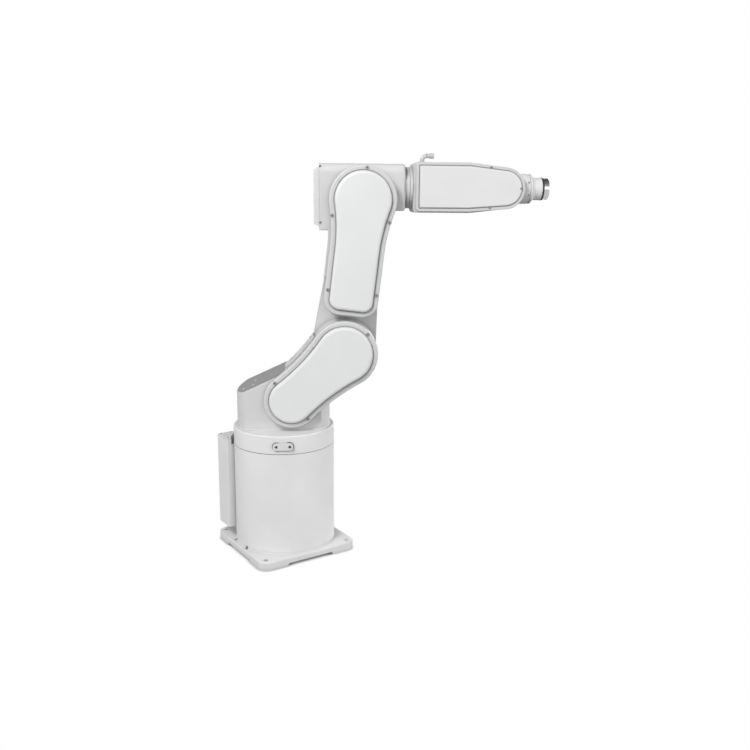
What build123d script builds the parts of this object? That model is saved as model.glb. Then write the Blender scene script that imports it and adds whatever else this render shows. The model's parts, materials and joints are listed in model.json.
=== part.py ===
from build123d import *
import os
from math import acos, atan2, cos, degrees, hypot, radians, sin, sqrt

# Every length is in millimetres. The robot stands on z = 0 with its first axis on the Z axis.
# The arm's own frame has X along the forearm and Y away from the belt covers. The base is
# square to X and Y, and at rest the arm is turned away from it by arm_heading degrees.
arm_heading = -30.0

# Room left between pieces that swing past each other, and between the two faces of a joint
clearance = 5.0
joint_gap = 0.3

# Base casting
column_radius = 97.0
column_top = 213.5
column_seam_chamfer = 1.2
foot_side = 206.0
foot_thickness = 16.5
foot_corner = 20.0
foot_edge_chamfer = 1.2
foot_bolt_spacing = 176.0
foot_bolt_hole = 9.0
foot_channel_width = 96.0
foot_channel_depth = 13.0
foot_channel_height = 6.0
foot_pocket = 7.0
foot_pocket_depth = 5.0
foot_pocket_places = (-20.5, 29.5)

# Connector box beside the back of the column, flush with the side of the foot
box_near_face = 40.0
box_width = 46.0
box_depth = 58.0
box_bottom = 41.0
box_top_drop = 26.5
box_edge_chamfer = 1.2
box_lid_thickness = 2.5
box_lid_inset = 1.0

# Turntable
turntable_thickness = 34.5
bearing_ring_height = 0.7
turntable_chamfer = 1.6
turntable_groove_inset = 5.5
turntable_groove_width = 1.0
turntable_groove_depth = 0.8
stop_plate_width = 38.0
stop_plate_height = 14.0
stop_plate_thickness = 3.0
stop_plate_rise = 15.2
stop_plate_bearing = -89.0

# Shoulder, with heights measured down from the shoulder axis
shoulder_x = 116.0
shoulder_rise = 147.0
shoulder_hub_radius = 62.0
motor_x = 17.0
motor_drop = 88.0
motor_housing_radius = 51.0
link_waist_radius = 380.0
tower_radius = 89.0
tower_half_depth = 52.0
tower_back_drop = 81.0
tower_front_drop = 37.0
tower_crest = 6.0
web_depth = 36.5
joint_ring_depth = 5.5
shoulder_ring_radius = 54.0
plate_thickness = 3.0
plate_inset = 2.0
back_cover_thickness = 5.0
back_cover_start = 33.0
back_cover_end = 112.0
far_cover_width = 96.0
far_cover_height = 56.0
far_cover_x = -12.0
plate_corner = 8.0

# Lower arm
upper_link_length = 282.0
upper_link_lean = 6.7
arm_hub_radius = 61.0
arm_half_width = 50.5
arm_far_face = 40.0
arm_shelf_drop = 152.0
arm_horn_width = 10.0
arm_horn_slope = 30.0
arm_corner = 5.0
arm_top_gap = 31.0
arm_edge_round = 3.0
arm_cap_radius = 48.0
arm_cover_width = 80.0
arm_cover_height = 48.0
elbow_cheek_radius = 61.0
cheek_half_width = 49.5
cheek_corner = 28.0
cheek_flank_radius = 300.0
cheek_thickness = 6.0
cheek_lip = 4.5
link_end_gap = 10.0
hub_seat_gap = 8.2
elbow_fold = 60.0

# Belt covers, which share one build on both links
cover_rim_depth = 17.0
cover_rim_fillet = 3.0
cover_crown_height = 7.0
cover_crown_inset = 15.0
cover_groove_inset = 8.2
cover_groove_width = 1.4
cover_groove_depth = 1.2

# Shares of a crown's width and height that its rounded side passes through
crown_profile = ((0.15, 0.5), (0.45, 0.85), (1.0, 1.0))

# Elbow, with reaches measured from its axis
elbow_axis_offset = 22.5
elbow_back_reach = 78.0
elbow_bottom = -55.0
elbow_swell_radius = 57.0
elbow_top_round = 16.0
elbow_back_cover_thickness = 10.5
elbow_back_cover_inset = 6.0
elbow_back_cover_slope = 6.0
elbow_back_cover_chamfer = 1.5
elbow_nose_radius = 41.8
elbow_nose_reach = 78.0
elbow_nose_round = 5.0
elbow_ring_radius = 45.0
cap_thickness = 5.0
cap_chamfer = 1.5
roll_barrel_radius = 38.75
roll_seam = 80.0

# Forearm
forearm_reach = 261.1
neck_radius = 37.5
neck_ring_length = 6.4
neck_groove_width = 1.0
neck_length = 12.2
forearm_half_height = 45.3
forearm_taper_length = 65.0
forearm_nose_radius = 37.5
forearm_back_corner = 7.0
forearm_cover_start = 4.6
forearm_cover_rise = 2.8
forearm_cheek_thickness = 3.0
forearm_body_inset = 0.6
forearm_rim_depth = 3.0
forearm_rim_fillet = 1.0
forearm_crown_height = 2.0
forearm_crown_inset = 9.0
forearm_groove_inset = 5.0
forearm_groove_width = 1.6
forearm_groove_depth = 1.2

# Air fitting on top of the forearm
fitting_x = 18.8
fitting_seat_radius = 6.5
fitting_seat_height = 3.0
fitting_tube_radius = 4.0
fitting_bend = 9.0
fitting_rise = 13.0
fitting_reach = 15.0
fitting_nut_radius = 5.0
fitting_nut_length = 7.0
fitting_bore = 2.6

# Wrist and tool flange, with lengths measured along the tool axis
wrist_radius = 27.5
wrist_slot_length = 68.0
trunnion_radius = 20.0
wrist_housing_length = 46.0
wrist_collar_length = 10.0
wrist_collar_step = 0.5
wrist_collar_chamfer = 1.5
wrist_groove_width = 1.5
wrist_groove_depth = 1.0
wrist_cone_length = 5.0
wrist_cone_radius = 24.0
wrist_barrel_radius = 20.5
wrist_barrel_length = 19.0
seal_thickness = 3.0
seal_radius = 20.8
flange_radius = 20.0
flange_thickness = 9.7
flange_bolt_circle = 31.5
flange_bolt_hole = 4.2
flange_bolt_depth = 7.0
flange_pilot = 20.0
flange_pilot_depth = 5.0
flange_chamfer = 0.6

# Places worked out from the sizes above
turntable_bottom = column_top + bearing_ring_height + joint_gap
turntable_top = turntable_bottom + turntable_thickness
box_top = turntable_top - box_top_drop
shoulder_z = turntable_top + shoulder_rise
motor_z = shoulder_z - motor_drop
elbow_x = shoulder_x + upper_link_length * sin(radians(upper_link_lean))
elbow_z = shoulder_z + upper_link_length * cos(radians(upper_link_lean))
roll_z = elbow_z + elbow_axis_offset
wrist_x = elbow_x + forearm_reach
fork_half_gap = wrist_radius + clearance + 0.5
forearm_half_width = fork_half_gap + forearm_cheek_thickness
cheek_inner_face = -(forearm_half_width + forearm_rim_depth + forearm_crown_height + clearance)
cover_back = cheek_inner_face - cheek_thickness
cover_front = cover_back - cover_rim_depth
web_far_face = cover_back + web_depth
hub_far_face = web_far_face + joint_ring_depth
arm_near_face = hub_far_face + joint_gap
elbow_half_depth = -cheek_inner_face - clearance - 1
elbow_back = -elbow_back_reach
elbow_top = elbow_axis_offset + elbow_nose_radius
elbow_sweep = hypot(elbow_back_reach + elbow_back_cover_thickness, elbow_top)
arm_body_top = upper_link_length - elbow_sweep - arm_top_gap
arm_shelf_top = upper_link_length - arm_shelf_drop
cheek_length = upper_link_length - shoulder_hub_radius - link_end_gap
seam_x = elbow_x + roll_seam
neck_start = seam_x + 2 * joint_gap
neck_end = neck_start + neck_length
wrist_housing_end = wrist_x + wrist_housing_length
wrist_collar_end = wrist_housing_end + wrist_collar_length
wrist_barrel_end = wrist_collar_end + wrist_barrel_length
flange_start = wrist_barrel_end + seal_thickness + joint_gap
flange_face = flange_start + flange_thickness

parts = {}


def unit(x, z):
    length = hypot(x, z)
    return x / length, z / length


def side_plane(y):
    """Plane across Y whose own X and Y are the arm's X and Z, facing the belt covers."""
    return Plane(origin=(0, y, 0), x_dir=(1, 0, 0), z_dir=(0, -1, 0))


def slab(outline, near, far):
    """Solid with an outline drawn in X and Z, from y = near to y = far."""
    return extrude(side_plane(far) * outline, far - near)


def disc_y(x, z, radius, near, far):
    return slab(Pos(x, z) * Circle(radius), near, far)


def disc_x(start, end, radius, z=0.0):
    return extrude(Plane(origin=(start, 0, z), x_dir=(0, 1, 0), z_dir=(1, 0, 0)) * Circle(radius), end - start)


def column(radius, low, high):
    return Pos(0, 0, low) * Cylinder(radius, high - low, align=(Align.CENTER, Align.CENTER, Align.MIN))


def graze(centre, radius, point, side):
    """Where the straight line from point touches a circle, on the side given as 1 or -1."""
    across = point[0] - centre[0]
    up = point[1] - centre[1]
    angle = atan2(up, across) + side * acos(radius / hypot(across, up))
    return centre[0] + radius * cos(angle), centre[1] + radius * sin(angle)


def on_upper_link(outline):
    """Places an outline drawn with the elbow axis at 0,0 and the link hanging down."""
    return Pos(elbow_x, elbow_z) * Rot(0, 0, -upper_link_lean) * outline


def along_upper_link(solid):
    """Places a solid drawn with the shoulder axis on Y and the link standing on Z."""
    return Pos(shoulder_x, 0, shoulder_z) * Rot(0, upper_link_lean, 0) * solid


def keyhole(inset=0.0):
    """Round head on the elbow axis that narrows by hollow flanks to a straight stem."""
    head = elbow_cheek_radius - inset
    half = cheek_half_width - inset
    end = cheek_length - inset
    corner = cheek_corner - inset
    flank = cheek_flank_radius + inset
    drop = sqrt((head + flank) ** 2 - (half + flank) ** 2)
    centre = (half + flank, -drop)
    share = head / (head + flank)
    on_head = (centre[0] * share, centre[1] * share)
    on_side = (half, -drop)
    mid = unit(on_head[0] + on_side[0] - 2 * centre[0], on_head[1] + on_side[1] - 2 * centre[1])
    on_flank = (centre[0] + flank * mid[0], centre[1] + flank * mid[1])
    bend = corner * (1 - sqrt(0.5))

    def other(point):
        return (-point[0], point[1])

    foot = (half, corner - end)
    corner_mid = (half - bend, bend - end)
    base = (half - corner, -end)
    edges = [
        ThreePointArc(other(on_head), (0, head), on_head),
        ThreePointArc(on_head, on_flank, on_side),
        Line(on_side, foot),
        ThreePointArc(foot, corner_mid, base),
        Line(base, other(base)),
        ThreePointArc(other(base), other(corner_mid), other(foot)),
        Line(other(foot), other(on_side)),
        ThreePointArc(other(on_side), other(on_flank), other(on_head)),
    ]
    return make_face(edges)


def waisted_link(inset=0.0):
    """Two round ends, on the motor and on the shoulder axis, joined by hollow flanks."""
    r1 = motor_housing_radius - inset
    r2 = shoulder_hub_radius - inset
    waist = link_waist_radius + inset
    along = unit(shoulder_x - motor_x, shoulder_z - motor_z)
    span = hypot(shoulder_x - motor_x, shoulder_z - motor_z)
    a = r1 + waist
    b = r2 + waist
    reach = (a * a - b * b + span * span) / (2 * span)
    rise = sqrt(a * a - reach * reach)
    arcs = []
    ends = []
    for side in (1, -1):
        cross = (-along[1] * side, along[0] * side)
        centre = (motor_x + along[0] * reach + cross[0] * rise, motor_z + along[1] * reach + cross[1] * rise)
        to_motor = unit(motor_x - centre[0], motor_z - centre[1])
        to_hub = unit(shoulder_x - centre[0], shoulder_z - centre[1])
        start = (centre[0] + to_motor[0] * waist, centre[1] + to_motor[1] * waist)
        end = (centre[0] + to_hub[0] * waist, centre[1] + to_hub[1] * waist)
        mid = unit(to_motor[0] + to_hub[0], to_motor[1] + to_hub[1])
        arcs.append(ThreePointArc(start, (centre[0] + mid[0] * waist, centre[1] + mid[1] * waist), end))
        ends.append((start, end))
    motor_end = (motor_x - along[0] * r1, motor_z - along[1] * r1)
    hub_end = (shoulder_x + along[0] * r2, shoulder_z + along[1] * r2)
    edges = [
        arcs[0],
        ThreePointArc(ends[0][1], hub_end, ends[1][1]),
        arcs[1],
        ThreePointArc(ends[1][0], motor_end, ends[0][0]),
    ]
    return make_face(edges)


def grooved_cover(outline, back, rim, rim_round, groove, crown, place=lambda face: face):
    """Closed cover facing -Y: a flat rim, a fine groove just inside it and a raised middle.

    groove is (inset, width, depth) and crown is (inset, height).
    """
    front = back - rim
    body = slab(place(outline(0)), front, back)
    body = fillet(body.faces().sort_by(Axis.Y)[0].outer_wire().edges(), rim_round)
    inner = groove[0] + groove[1]
    ring = place(outline(groove[0])) - place(outline(inner))
    body -= slab(ring, front - 1, front + groove[2])
    sections = [side_plane(front + groove[2] / 2) * place(outline(inner))]
    for across, up in crown_profile:
        inset = inner + across * (crown[0] - inner)
        sections.append(side_plane(front - up * crown[1]) * place(outline(inset)))
    return body + loft([section.face() for section in sections], ruled=True)


def belt_cover(outline, place=lambda face: face):
    groove = (cover_groove_inset, cover_groove_width, cover_groove_depth)
    crown = (cover_crown_inset, cover_crown_height)
    return grooved_cover(outline, cover_back, cover_rim_depth, cover_rim_fillet, groove, crown, place)


def base_casting():
    foot = extrude(RectangleRounded(foot_side, foot_side, foot_corner), foot_thickness)
    foot = chamfer(foot.faces().sort_by(Axis.Z)[-1].edges(), foot_edge_chamfer)
    casting = foot + column(column_radius, 0, column_top)
    seam = [e for e in casting.edges().filter_by(GeomType.CIRCLE)
            if abs(e.center().Z - foot_thickness) < 0.1 and e.radius > column_radius - 1]
    casting = chamfer(seam, column_seam_chamfer)
    for turn in range(4):
        channel = Box(foot_channel_depth, foot_channel_width, foot_channel_height,
                      align=(Align.MAX, Align.CENTER, Align.MIN))
        channel = chamfer(channel.edges().filter_by(Axis.X).sort_by(Axis.Z)[-2:], foot_channel_height / 3)
        casting -= Rot(0, 0, 90 * turn) * Pos(foot_side / 2, 0, 0) * channel
    half = foot_bolt_spacing / 2
    for x in (-half, half):
        for y in (-half, half):
            casting -= Pos(x, y, 0) * column(foot_bolt_hole / 2, 0, foot_thickness)
    for y in foot_pocket_places:
        pocket = Box(foot_pocket, foot_pocket, 2 * foot_pocket_depth)
        casting -= Pos(foot_pocket / 2 - column_radius, y, foot_thickness) * pocket
    return casting


def box_block(low, high, inset=0.0):
    """Upright block in the box's place, drawn in from its free sides by inset."""
    width = box_width - 2 * inset
    block = Box(box_depth - inset, width, high - low, align=(Align.MIN, Align.MIN, Align.MIN))
    return Pos(inset - foot_side / 2, box_near_face + inset, low) * block


def connector_box():
    step = turntable_bottom - clearance
    box = box_block(box_bottom, box_top - box_lid_thickness)
    outer_edges = [e for e in box.edges().filter_by(Axis.Z) if e.center().X < 1 - foot_side / 2]
    box = chamfer(outer_edges, box_edge_chamfer)
    box -= column(column_radius + joint_gap, 0, column_top)
    return box - column(column_radius + clearance, step, turntable_top)


def box_lid():
    lid = box_block(box_top - box_lid_thickness, box_top, box_lid_inset)
    lid = chamfer(lid.faces().sort_by(Axis.Z)[-1].edges(), box_edge_chamfer / 2)
    return lid - column(column_radius + clearance + box_lid_inset, 0, turntable_top)


def bearing_ring():
    ring = Circle(column_radius - 2) - Circle(column_radius - 14)
    return Pos(0, 0, column_top) * extrude(ring, bearing_ring_height)


def turntable():
    disc = column(column_radius, turntable_bottom, turntable_top)
    disc = chamfer(disc.edges().sort_by(Axis.Z)[-1], turntable_chamfer)
    outer = column_radius - turntable_groove_inset
    groove = column(outer, turntable_top - turntable_groove_depth, turntable_top + 1)
    return disc - (groove - column(outer - turntable_groove_width, 0, turntable_top + 2))


def stop_plate():
    seat = turntable_bottom + stop_plate_rise
    depth = column_radius - sqrt(column_radius ** 2 - (stop_plate_width / 2) ** 2)
    plane = Plane(origin=(column_radius - depth, 0, seat), x_dir=(0, 1, 0), z_dir=(1, 0, 0))
    plate = extrude(plane * SlotOverall(stop_plate_width, stop_plate_height), depth + stop_plate_thickness)
    plate -= column(column_radius, turntable_bottom, turntable_top)
    return Rot(0, 0, stop_plate_bearing) * plate


def tower_plan(inset=0.0):
    depth = 2 * (tower_half_depth - inset)
    return Circle(tower_radius - inset) & Rectangle(3 * tower_radius, depth)


def tower_roof(lift=0.0):
    """Outline of everything above the tower's sloping top, or above a plane lift higher."""
    left = -tower_radius - clearance
    back = shoulder_z - tower_back_drop + lift
    front = shoulder_z - tower_front_drop + lift
    slope = (front - back) / (tower_crest + tower_radius)
    high = 2 * shoulder_z
    corners = [(left, back - slope * clearance), (tower_crest, front), (2 * tower_radius, front),
               (2 * tower_radius, high), (left, high)]
    return make_face(Polyline(*corners, close=True))


def shoulder_casting():
    depth = 2 * tower_half_depth
    tower = Pos(0, 0, turntable_top) * extrude(tower_plan(), shoulder_z - turntable_top)
    tower -= slab(tower_roof(), -depth, depth)
    tower -= disc_y(shoulder_x, shoulder_z, arm_hub_radius + hub_seat_gap, web_far_face, depth)
    buried = Pos(tower_crest - tower_radius, shoulder_z) * Rectangle(2 * tower_radius, 2 * tower_radius)
    web = slab(waisted_link() - (tower_roof() & buried), cover_back, web_far_face)
    return tower + (web - column(3 * tower_radius, 0, turntable_top))


def shoulder_joint_ring():
    return disc_y(shoulder_x, shoulder_z, shoulder_ring_radius, web_far_face, hub_far_face)


def shoulder_top_cover():
    depth = 2 * tower_half_depth
    plate = Pos(0, 0, turntable_top) * extrude(tower_plan(plate_inset), shoulder_z - turntable_top)
    plate &= slab(tower_roof() - tower_roof(plate_thickness), -depth, depth)
    return plate - Pos(tower_crest - joint_gap, 0, 0) * Box(
        depth, 2 * depth, 4 * shoulder_z, align=(Align.MIN, Align.CENTER, Align.CENTER))


def shoulder_back_cover():
    run = back_cover_end - back_cover_start
    tilt = degrees(atan2(shoulder_z - motor_z, shoulder_x - motor_x))
    window = Pos(back_cover_start + run / 2, motor_housing_radius) * Rectangle(run, motor_housing_radius)
    strip = (waisted_link(-back_cover_thickness) - waisted_link()) & (
        Pos(motor_x, motor_z) * Rot(0, 0, tilt) * window)
    return slab(strip, cover_back + 2, web_far_face - 2)


def plate_on(outline, face, thickness=plate_thickness):
    """Flat cover on a face that looks along +Y, with its outer edge broken."""
    plate = slab(outline, face, face + thickness)
    return chamfer(plate.faces().sort_by(Axis.Y)[-1].edges(), thickness / 3)


def shoulder_far_cover():
    outline = RectangleRounded(far_cover_width, far_cover_height, plate_corner)
    z = turntable_top + plate_corner + far_cover_height / 2
    return plate_on(Pos(far_cover_x, z) * outline, tower_half_depth)


def arm_outline():
    """Lower arm seen from the side, standing on Z: round hub, leaning sides and a stepped top."""
    left = (-arm_half_width, arm_body_top)
    right = (arm_half_width, arm_shelf_top)
    horn = (arm_horn_width - arm_half_width, arm_body_top)
    shelf = (arm_horn_width + arm_horn_slope - arm_half_width, arm_shelf_top)
    start = graze((0, 0), arm_hub_radius, right, -1)
    end = graze((0, 0), arm_hub_radius, left, 1)
    edges = [
        Line(start, right),
        Line(right, shelf),
        Line(shelf, horn),
        Line(horn, left),
        Line(left, end),
        ThreePointArc(end, (0, -arm_hub_radius), start),
    ]
    face = make_face(edges)
    return fillet([v for v in face.vertices() if v.Y > arm_hub_radius], arm_corner)


def fold_relief():
    """Room beside the link for the forearm's edge when the forearm hangs at its lowest."""
    side = 2 * arm_half_width
    start = neck_end - elbow_x - clearance
    low = elbow_axis_offset - forearm_half_height - clearance
    corner = Pos(start + side / 2, low + side / 2) * RectangleRounded(side, side, arm_corner)
    return Rot(0, 0, upper_link_lean - elbow_fold) * corner


def cheek_outline():
    """The cover's own outline, with a lip that shows behind it between the elbow and the body."""
    side = 2 * elbow_cheek_radius
    start = elbow_swell_radius + joint_gap
    end = upper_link_length - arm_body_top + arm_corner
    window = Pos(-side / 2, -(start + end) / 2) * Rectangle(side, end - start)
    return keyhole() + (keyhole(-cheek_lip) & window)


def lower_arm_casting():
    cheek = slab(on_upper_link(cheek_outline() - fold_relief()), cover_back, cheek_inner_face)
    near_outline = keyhole() & (Pos(0, -upper_link_length) * arm_outline())
    near_body = slab(on_upper_link(near_outline), cheek_inner_face, arm_near_face)
    far_body = slab(arm_outline(), arm_near_face, arm_far_face)
    far_body = fillet(far_body.faces().sort_by(Axis.Y)[-1].outer_wire().edges(), arm_edge_round)
    return cheek + near_body + along_upper_link(far_body)


def arm_hub_cap():
    return along_upper_link(plate_on(Circle(arm_cap_radius), arm_far_face, cap_thickness))


def arm_far_cover():
    z = (arm_hub_radius + arm_shelf_top) / 2
    outline = Pos(0, z) * RectangleRounded(arm_cover_width, arm_cover_height, plate_corner)
    return along_upper_link(plate_on(outline, arm_far_face))


def elbow_joint_ring():
    return disc_y(elbow_x, elbow_z, elbow_ring_radius, cheek_inner_face + joint_gap, -elbow_half_depth)


def elbow_housing():
    low = elbow_axis_offset - elbow_nose_radius
    corners = [(elbow_back, elbow_bottom), (0, elbow_bottom), (0, low), (elbow_nose_reach, low),
               (elbow_nose_reach, elbow_top), (elbow_back, elbow_top)]
    swell = Circle(elbow_swell_radius) & Pos(0, -elbow_swell_radius) * Rectangle(
        4 * elbow_swell_radius, 2 * elbow_swell_radius)
    outline = make_face(Polyline(*corners, close=True)) + swell
    body = slab(Pos(elbow_x, elbow_z) * outline, -elbow_half_depth, elbow_half_depth)
    ridges = [e for e in body.edges().filter_by(Axis.X) if e.center().Z > elbow_z + elbow_top - 1]
    body = fillet(ridges, elbow_top_round)
    return fillet(body.faces().sort_by(Axis.X)[-1].outer_wire().edges(), elbow_nose_round)


def elbow_back_cover():
    low = elbow_bottom + elbow_back_cover_inset
    high = elbow_top - elbow_back_cover_inset
    outer = elbow_back - elbow_back_cover_thickness
    outline = make_face(Polyline((elbow_back, low), (outer, low + elbow_back_cover_slope),
                                 (outer, high - elbow_back_cover_slope), (elbow_back, high), close=True))
    half = elbow_half_depth - 1
    plate = slab(Pos(elbow_x, elbow_z) * outline, -half, half)
    return chamfer(plate.faces().sort_by(Axis.X)[0].edges(), elbow_back_cover_chamfer)


def elbow_far_cap():
    return plate_on(Pos(elbow_x, elbow_z) * Circle(elbow_ring_radius), elbow_half_depth, cap_thickness)


def roll_barrel():
    return disc_x(elbow_x + elbow_nose_reach, seam_x, roll_barrel_radius, roll_z)


def neck_ring():
    ring = disc_x(neck_start, neck_start + neck_ring_length, neck_radius, roll_z)
    return chamfer(ring.edges().sort_by(Axis.X)[-1], neck_groove_width / 2)


def neck_sleeve():
    sleeve = disc_x(neck_start + neck_ring_length, neck_end, neck_radius, roll_z)
    return chamfer(sleeve.edges().sort_by(Axis.X)[0], neck_groove_width)


def forearm_outline(start, low, inset=0.0):
    """Forearm seen from the side, square at start and round at the wrist, low below its axis."""
    high = forearm_half_height - inset
    deep = low - inset
    left = start + inset
    radius = forearm_nose_radius - inset
    bend_x = wrist_x - forearm_taper_length
    top = graze((wrist_x, 0), radius, (bend_x, high), -1)
    bottom = graze((wrist_x, 0), radius, (bend_x, -deep), 1)
    edges = [
        Line((left, -deep), (left, high)),
        Line((left, high), (bend_x, high)),
        Line((bend_x, high), top),
        ThreePointArc(top, (wrist_x + radius, 0), bottom),
        Line(bottom, (bend_x, -deep)),
        Line((bend_x, -deep), (left, -deep)),
    ]
    face = make_face(edges)
    corners = [v for v in face.vertices() if v.X < left + 1]
    face = fillet(corners, max(forearm_back_corner - inset, 1.0))
    return Pos(0, roll_z) * face


def forearm_cover_outline(inset=0.0):
    start = neck_end + forearm_cover_start
    return forearm_outline(start, forearm_half_height - forearm_cover_rise, inset)


def forearm_casting():
    outline = forearm_outline(neck_end - forearm_body_inset, forearm_half_height, forearm_body_inset)
    body = slab(outline, -forearm_half_width, forearm_half_width)
    slot = Pos(wrist_x - wrist_slot_length, 0, roll_z) * Box(
        4 * wrist_slot_length, 2 * fork_half_gap, 4 * forearm_half_height,
        align=(Align.MIN, Align.CENTER, Align.CENTER))
    return body - slot


def forearm_near_cover():
    groove = (forearm_groove_inset, forearm_groove_width, forearm_groove_depth)
    crown = (forearm_crown_inset, forearm_crown_height)
    return grooved_cover(forearm_cover_outline, -forearm_half_width, forearm_rim_depth,
                         forearm_rim_fillet, groove, crown)


def forearm_far_cover():
    return mirror(forearm_near_cover(), Plane.XZ)


def air_fitting():
    x = neck_end + fitting_x
    z = roll_z + forearm_half_height - forearm_body_inset
    seat = Pos(x, 0, z) * Cylinder(fitting_seat_radius, fitting_seat_height,
                                   align=(Align.CENTER, Align.CENTER, Align.MIN))
    bend_end = (x + fitting_bend, 0, z + fitting_rise)
    diagonal = fitting_bend * (1 - sqrt(0.5))
    path = [
        Line((x, 0, z), (x, 0, z + fitting_rise - fitting_bend)),
        ThreePointArc((x, 0, z + fitting_rise - fitting_bend),
                      (x + diagonal, 0, z + fitting_rise - diagonal), bend_end),
        Line(bend_end, (x + fitting_reach, 0, z + fitting_rise)),
    ]
    tube = sweep(Plane(origin=(x, 0, z), z_dir=(0, 0, 1)) * Circle(fitting_tube_radius), path=Wire(path))
    return seat + tube


def air_fitting_nut():
    start = neck_end + fitting_x + fitting_reach
    z = roll_z + forearm_half_height - forearm_body_inset + fitting_rise
    nut = disc_x(start, start + fitting_nut_length, fitting_nut_radius, z)
    nut = chamfer(nut.edges().sort_by(Axis.X)[-1], 1)
    return nut - disc_x(start, start + fitting_nut_length, fitting_bore, z)


def wrist_housing():
    hub = disc_y(wrist_x, roll_z, wrist_radius, -wrist_radius, wrist_radius)
    hub += disc_y(wrist_x, roll_z, trunnion_radius, joint_gap - fork_half_gap, fork_half_gap - joint_gap)
    return hub + disc_x(wrist_x, wrist_housing_end, wrist_radius, roll_z)


def wrist_collar():
    radius = wrist_radius - wrist_collar_step
    collar = disc_x(wrist_housing_end, wrist_collar_end, radius, roll_z)
    collar = chamfer(collar.edges().sort_by(Axis.X)[-1], wrist_collar_chamfer)
    start = (wrist_housing_end + wrist_collar_end - wrist_groove_width) / 2
    groove = disc_x(start, start + wrist_groove_width, wrist_radius, roll_z)
    return collar - (groove - disc_x(start, start + wrist_groove_width, radius - wrist_groove_depth, roll_z))


def wrist_barrel():
    barrel = disc_x(wrist_collar_end, wrist_barrel_end, wrist_barrel_radius, roll_z)
    cone = Cone(wrist_cone_radius, wrist_barrel_radius, wrist_cone_length,
                align=(Align.CENTER, Align.CENTER, Align.MIN))
    return barrel + Pos(wrist_collar_end, 0, roll_z) * Rot(0, 90, 0) * cone


def flange_seal():
    return disc_x(wrist_barrel_end, wrist_barrel_end + seal_thickness, seal_radius, roll_z)


def tool_flange():
    disc = disc_x(flange_start, flange_face, flange_radius, roll_z)
    disc = chamfer(disc.edges().sort_by(Axis.X)[-1], flange_chamfer)
    disc -= disc_x(flange_face - flange_pilot_depth, flange_face, flange_pilot / 2, roll_z)
    for turn in range(4):
        angle = radians(45 + 90 * turn)
        hole = disc_x(flange_face - flange_bolt_depth, flange_face, flange_bolt_hole / 2, roll_z)
        disc -= Pos(0, flange_bolt_circle / 2 * cos(angle), flange_bolt_circle / 2 * sin(angle)) * hole
    return disc


def arm_side(solid):
    """Turns a piece from the arm's frame to where the arm stands at rest."""
    return Rot(0, 0, arm_heading) * solid


for make in (base_casting, connector_box, box_lid, bearing_ring):
    parts[make.__name__] = make()

parts["shoulder_belt_cover"] = arm_side(belt_cover(waisted_link))
parts["arm_belt_cover"] = arm_side(belt_cover(keyhole, on_upper_link))

for make in (turntable, stop_plate, shoulder_casting, shoulder_joint_ring, shoulder_top_cover,
             shoulder_back_cover, shoulder_far_cover, lower_arm_casting, arm_hub_cap, arm_far_cover,
             elbow_joint_ring, elbow_housing, elbow_back_cover, elbow_far_cap, roll_barrel,
             neck_ring, neck_sleeve, forearm_casting, forearm_near_cover, forearm_far_cover,
             air_fitting, air_fitting_nut, wrist_housing, wrist_collar, wrist_barrel,
             flange_seal, tool_flange):
    parts[make.__name__] = arm_side(make())

os.makedirs("parts", exist_ok=True)
for name, solid in parts.items():
    export_step(solid, f"parts/{name}.step")
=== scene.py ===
import json
import math

import bmesh
import bpy
from mathutils import Matrix, Vector
from mathutils.bvhtree import BVHTree


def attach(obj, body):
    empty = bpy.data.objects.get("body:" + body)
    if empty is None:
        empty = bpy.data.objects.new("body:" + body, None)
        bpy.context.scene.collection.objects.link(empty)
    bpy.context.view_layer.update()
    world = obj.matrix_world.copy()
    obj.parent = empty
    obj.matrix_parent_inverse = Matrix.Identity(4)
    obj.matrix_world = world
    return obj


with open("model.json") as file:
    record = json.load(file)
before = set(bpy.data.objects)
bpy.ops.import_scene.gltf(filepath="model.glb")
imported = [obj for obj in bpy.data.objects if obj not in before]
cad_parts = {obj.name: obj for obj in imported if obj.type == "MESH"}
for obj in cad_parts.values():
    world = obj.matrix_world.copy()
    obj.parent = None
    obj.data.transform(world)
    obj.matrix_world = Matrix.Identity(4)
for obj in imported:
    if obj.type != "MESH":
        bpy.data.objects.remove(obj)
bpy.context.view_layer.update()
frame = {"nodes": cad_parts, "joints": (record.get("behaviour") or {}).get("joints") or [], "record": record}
nodes = frame["nodes"]

# The arm's own frame has X along the forearm and Y away from the belt covers.
# Pieces are measured there in millimetres; materials, camera, floor and lights are in metres.
millimetre = 0.001
armHeading = math.radians(-30.0)
armTurn = Matrix.Rotation(armHeading, 4, "Z")
joints = {joint["name"]: joint for joint in frame["joints"]}
scene = bpy.context.scene


def armPoint(x, y, z):
    return armTurn @ Vector((x, y, z)) * millimetre


def armDirection(x, y, z):
    return (armTurn @ Vector((x, y, z))).normalized()


def jointPlace(name):
    return armTurn.inverted() @ Vector(joints[name]["pos_m"]) / millimetre


shoulderAxis = jointPlace("shoulder_swing")
elbowAxis = jointPlace("elbow_swing")
rollAxis = jointPlace("forearm_roll")
wristAxis = jointPlace("wrist_bend")
linkLean = math.atan2(elbowAxis.x - shoulderAxis.x, elbowAxis.z - shoulderAxis.z)

# Headings of a line that lands on the side with the belt covers, on the other side and from above.
ontoNearSide = armDirection(0, 1, 0)
ontoFarSide = armDirection(0, -1, 0)
down = Vector((0, 0, -1))
print("stage: frame loaded")

floatSocket = "NodeSocketFloat"
colourSocket = "NodeSocketColor"
vectorSocket = "NodeSocketVector"


def addObject(name, data):
    item = bpy.data.objects.new(name, data)
    scene.collection.objects.link(item)
    return item


def grey(level):
    return (level, level, level, 1.0)


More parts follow.
